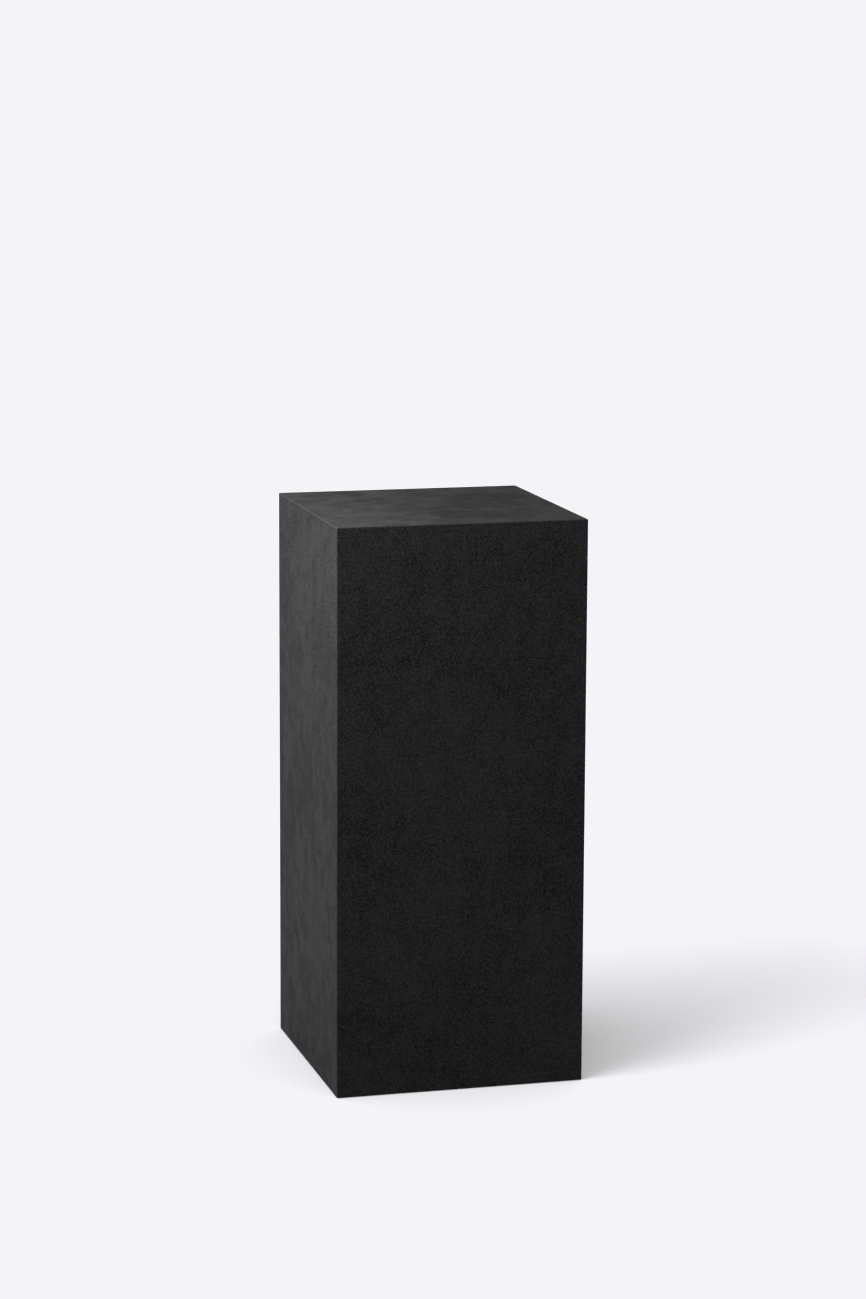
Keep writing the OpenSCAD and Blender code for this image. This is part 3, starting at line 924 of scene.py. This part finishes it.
def foot_pad():
    """Moulded pad with rounded rims and a row of grip flutes round its edge."""
    bm = lathe([(0, sole_t), (foot_r - 0.0004, sole_t), (foot_r, sole_t + 0.0004),
                (foot_r, 0.0052), (foot_r - 0.0004, 0.0058), (foot_r - 0.0010, 0.0063),
                (0.0140, 0.0113), (0.0134, 0.0118), (0.0128, pad_high),
                (ring_r + 0.0004, pad_high), (ring_r, pad_high - 0.0004), (ring_r, ring_low),
                (collar_r + play, ring_low), (collar_r + play, pad_floor), (0, pad_floor)], pad_steps)
    for v in bm.verts:
        turn = round(atan2(v.co.y, v.co.x) / (tau / pad_steps)) % 4
        if turn == 0 and hypot(v.co.x, v.co.y) > 0.0186 and 0.0023 < v.co.z < 0.0060:
            v.co.x *= 0.975
            v.co.y *= 0.975
    return bm


def foot_sole():
    """Rubber disc with three grip grooves in its underside."""
    outline = [(0, sole_t), (foot_r, sole_t), (foot_r, 0.0004), (foot_r - 0.0004, 0)]
    for groove in (0.0165, 0.0120, 0.0075):
        outline += [(groove + 0.0008, 0), (groove + 0.0005, 0.0007), (groove - 0.0005, 0.0007),
                    (groove - 0.0008, 0)]
    return lathe(outline + [(0, 0)], 64)


black_nylon, grey_rubber = nylon_finish(), rubber_finish()
for i, corner in enumerate(CORNERS):
    for kind, shape, finish, body, slot in (
            ("insert", foot_insert, bright_zinc, "plinth", "zinc_steel"),
            ("stud", foot_stud, bright_zinc, f"{corner}_stud", "zinc_steel"),
            ("ring", foot_ring, bright_zinc, f"{corner}_foot", "zinc_steel"),
            ("pad", foot_pad, black_nylon, f"{corner}_foot", "black_nylon"),
            ("sole", foot_sole, grey_rubber, f"{corner}_foot", "grey_rubber")):
        bm = shape()
        bm.transform(quarter_turn(i) @ Matrix.Translation((-foot_xy, -foot_xy, 0)))
        piece(f"{corner}_foot_{kind}", bm, finish, body, slot, f"foot_{kind}_{corner}")

# ---- Studio ----
# A pale seamless floor that runs out of sight, walls and ceiling that glow unequally, one broad
# soft light from the left, two softboxes close to the case that are flagged off the floor, and
# the camera.

floor_half = 1500.0
front_glow, back_glow, left_glow, right_glow, top_glow = 2.13, 0.58, 1.59, 0.36, 1.42
seen_glow = 1.2


def floor_finish():
    material, tree, surface, place = new_finish("studio_floor")
    dust_and_painted_light = patches(tree, place, 0.8, detail=3.0)
    put(tree, surface.inputs["Base Color"],
        tint(tree, spread(tree, dust_and_painted_light, 0.3, 0.7), (0.695, 0.695, 0.695), (0.705, 0.705, 0.705)))
    surface.inputs["Roughness"].default_value = 1.0
    surface.inputs["Specular IOR Level"].default_value = 0.0
    return material


bm = bmesh.new()
bmesh.ops.create_grid(bm, x_segments=8, y_segments=8, size=floor_half)
mesh = bpy.data.meshes.new("floor")
bm.to_mesh(mesh)
bm.free()
mesh.materials.append(floor_finish())
floor = bpy.data.objects.new("floor", mesh)
bpy.context.scene.collection.objects.link(floor)

world = bpy.data.worlds.new("studio")
bpy.context.scene.world = world
world.use_nodes = True
tree = world.node_tree
tree.nodes.clear()
background = tree.nodes.new("ShaderNodeBackground")
out = tree.nodes.new("ShaderNodeOutputWorld")
tree.links.new(background.outputs[0], out.inputs["Surface"])
x, y, z = along(tree, tree.nodes.new("ShaderNodeTexCoord").outputs["Generated"])
glow = 0.0
for axis, sign, strength in ((y, -1, front_glow), (y, 1, back_glow), (x, -1, left_glow),
                             (x, 1, right_glow), (z, 1, top_glow)):
    facing = sums(tree, "MAXIMUM", sums(tree, "MULTIPLY", axis, sign), 0.0)
    glow = sums(tree, "ADD", glow, sums(tree, "MULTIPLY", sums(tree, "POWER", facing, 2.0),
                                        strength))
background.inputs["Color"].default_value = (1.0, 1.0, 1.0, 1)
seen = tree.nodes.new("ShaderNodeLightPath").outputs["Is Camera Ray"]
put(tree, background.inputs["Strength"],
    sums(tree, "MAXIMUM", glow, sums(tree, "MULTIPLY", seen, seen_glow)))


def lamp(name, kind, heading, place=(0, 0, 3)):
    """A light that shines along a heading."""
    light = bpy.data.lights.new(name, kind)
    hung = bpy.data.objects.new(name, light)
    bpy.context.scene.collection.objects.link(hung)
    hung.location = place
    hung.rotation_euler = Vector(heading).to_track_quat("-Z", "Y").to_euler()
    return hung, light


key_elevation, key_heading = radians(31), radians(22)
_, key = lamp("key", "SUN", (cos(key_heading) * cos(key_elevation),
                             sin(key_heading) * cos(key_elevation), -sin(key_elevation)))
key.energy = 2.67
key.angle = radians(42)

boards = bpy.data.collections.new("boards")
for name in [f"{side}_board" for side in SIDES] + ["top_board"]:
    boards.objects.link(bpy.data.objects[name])
for name, place, target, power in (("left_softbox", (-0.9, 0.0, 1.5), (-0.2, 0.0, 0.8), 92.0),
                                   ("front_softbox", (-0.8, -0.8, 1.5), (-0.2, -0.2, 0.8), 38.0)):
    hung, softbox = lamp(name, "AREA", Vector(target) - Vector(place), place)
    softbox.shape = "DISK"
    softbox.size = 0.5
    softbox.energy = power
    hung.visible_camera = False
    hung.light_linking.receiver_collection = boards

camera_yaw, camera_pitch, camera_roll = radians(15.114), radians(-10.323), radians(0.264)
camera = bpy.data.cameras.new("camera")
camera.sensor_width = 36.0
camera.lens = 100.1
camera.clip_end = 5000.0
view = bpy.data.objects.new("camera", camera)
bpy.context.scene.collection.objects.link(view)
view.location = (-1.4707, -5.4684, 1.7000)
aim = Vector((sin(camera_yaw) * cos(camera_pitch), cos(camera_yaw) * cos(camera_pitch),
              sin(camera_pitch)))
view.rotation_euler = (aim.to_track_quat("-Z", "Y").to_matrix()
                       @ Matrix.Rotation(camera_roll, 3, "Z")).to_euler()
bpy.context.scene.camera = view

display = bpy.context.scene.view_settings
display.view_transform = "Standard"
display.look = "None"
display.use_curve_mapping = True
paper_white = (0.905, 0.896, 0.939)
display.curve_mapping.extend = "HORIZONTAL"
for curve, white in zip(display.curve_mapping.curves, paper_white):
    curve.points[1].location = (1.0, white)
    curve.points.new(0.5, 0.448)
    for point in curve.points:
        point.handle_type = "VECTOR"
display.curve_mapping.update()
